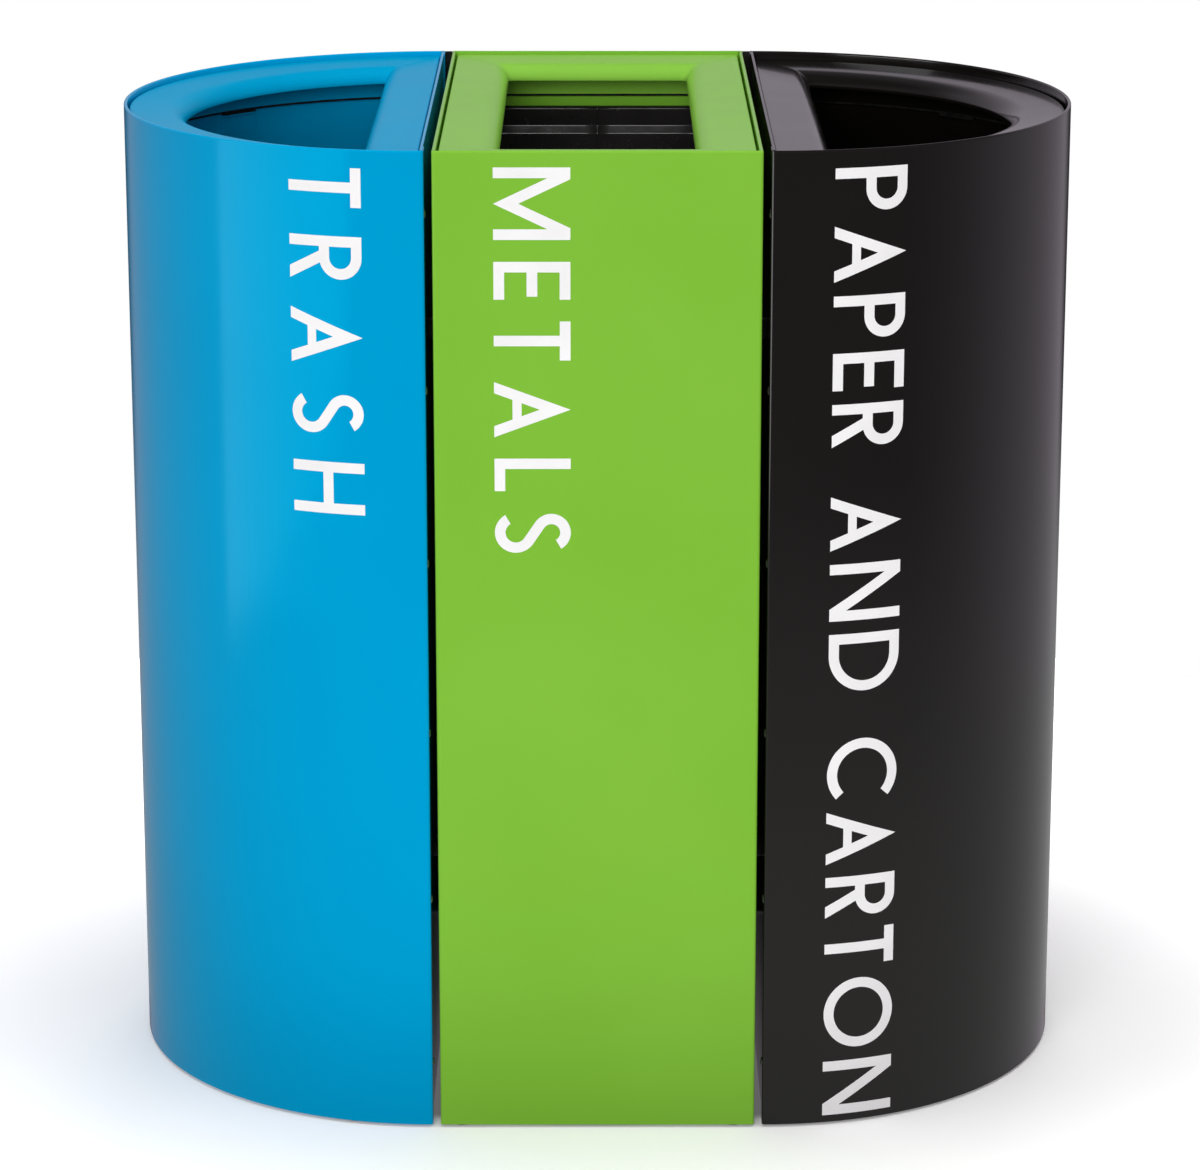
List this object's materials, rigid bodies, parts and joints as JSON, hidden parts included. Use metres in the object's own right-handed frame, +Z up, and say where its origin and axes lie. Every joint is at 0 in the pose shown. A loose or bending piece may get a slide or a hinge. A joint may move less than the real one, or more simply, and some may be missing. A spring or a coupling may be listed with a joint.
{
  "type": "recycling bin station",
  "caption": "Free-standing sorting station of side-by-side steel bins with half-round ends, dished lift-out lids with open mouths and lift-out liners.",
  "frame": {"origin": "on the floor, under the middle of the station's plan", "axes": "+Z up; +X along the row of bins, from the first half-round bin to the last; the labelled fronts face -Y"},
  "size_m": [0.9138, 0.6012, 0.945],
  "materials": {
    "blue_paint": "gloss powder coat",
    "green_paint": "gloss powder coat",
    "black_paint": "gloss powder coat",
    "liner_plastic": "moulded, slightly grained",
    "foot_rubber": "matt",
    "zinc_steel": "zinc plated",
    "rivet_steel": "plain blind rivets",
    "spacer_plastic": "nylon"
  },
  "bodies": {
    "casings": {"left_shell": "blue_paint", "left_side_panel": "blue_paint", "left_panel_rivets": "rivet_steel", "left_foot_ring": "blue_paint", "left_feet": "foot_rubber", "left_foot_screws": "zinc_steel", "left_floor_pan": "blue_paint", "left_lid_ledges": "blue_paint", "left_lid_pads": "foot_rubber", "left_link_bolts": "zinc_steel", "left_link_nuts": "zinc_steel", "left_link_spacers": "spacer_plastic", "left_gap_seal": "foot_rubber", "middle_shell": "green_paint", "middle_back_panel": "green_paint", "middle_panel_rivets": "rivet_steel", "middle_foot_ring": "green_paint", "middle_feet": "foot_rubber", "middle_foot_screws": "zinc_steel", "middle_floor_pan": "green_paint", "middle_lid_ledges": "green_paint", "middle_lid_pads": "foot_rubber", "right_shell": "black_paint", "right_side_panel": "black_paint", "right_panel_rivets": "rivet_steel", "right_foot_ring": "black_paint", "right_feet": "foot_rubber", "right_foot_screws": "zinc_steel", "right_floor_pan": "black_paint", "right_lid_ledges": "black_paint", "right_lid_pads": "foot_rubber", "right_link_bolts": "zinc_steel", "right_link_nuts": "zinc_steel", "right_link_spacers": "spacer_plastic", "right_gap_seal": "foot_rubber"},
    "left_liner": {"left_liner": "liner_plastic"},
    "left_lid": {"left_lid": "blue_paint"},
    "middle_liner": {"middle_liner": "liner_plastic"},
    "middle_lid": {"middle_lid": "green_paint"},
    "right_liner": {"right_liner": "liner_plastic"},
    "right_lid": {"right_lid": "black_paint"}
  },
  "joints": [
    {"name": "left_liner_lift", "type": "slide", "parent": "casings", "child": "left_liner", "axis": [0, 0, 1], "range_m": [0, 0.82]},
    {"name": "left_lid_lift", "type": "slide", "parent": "left_liner", "child": "left_lid", "axis": [0, 0, 1], "range_m": [0, 0.3]},
    {"name": "middle_liner_lift", "type": "slide", "parent": "casings", "child": "middle_liner", "axis": [0, 0, 1], "range_m": [0, 0.82]},
    {"name": "middle_lid_lift", "type": "slide", "parent": "middle_liner", "child": "middle_lid", "axis": [0, 0, 1], "range_m": [0, 0.3]},
    {"name": "right_liner_lift", "type": "slide", "parent": "casings", "child": "right_liner", "axis": [0, 0, 1], "range_m": [0, 0.82]},
    {"name": "right_lid_lift", "type": "slide", "parent": "right_liner", "child": "right_lid", "axis": [0, 0, 1], "range_m": [0, 0.3]}
  ]
}
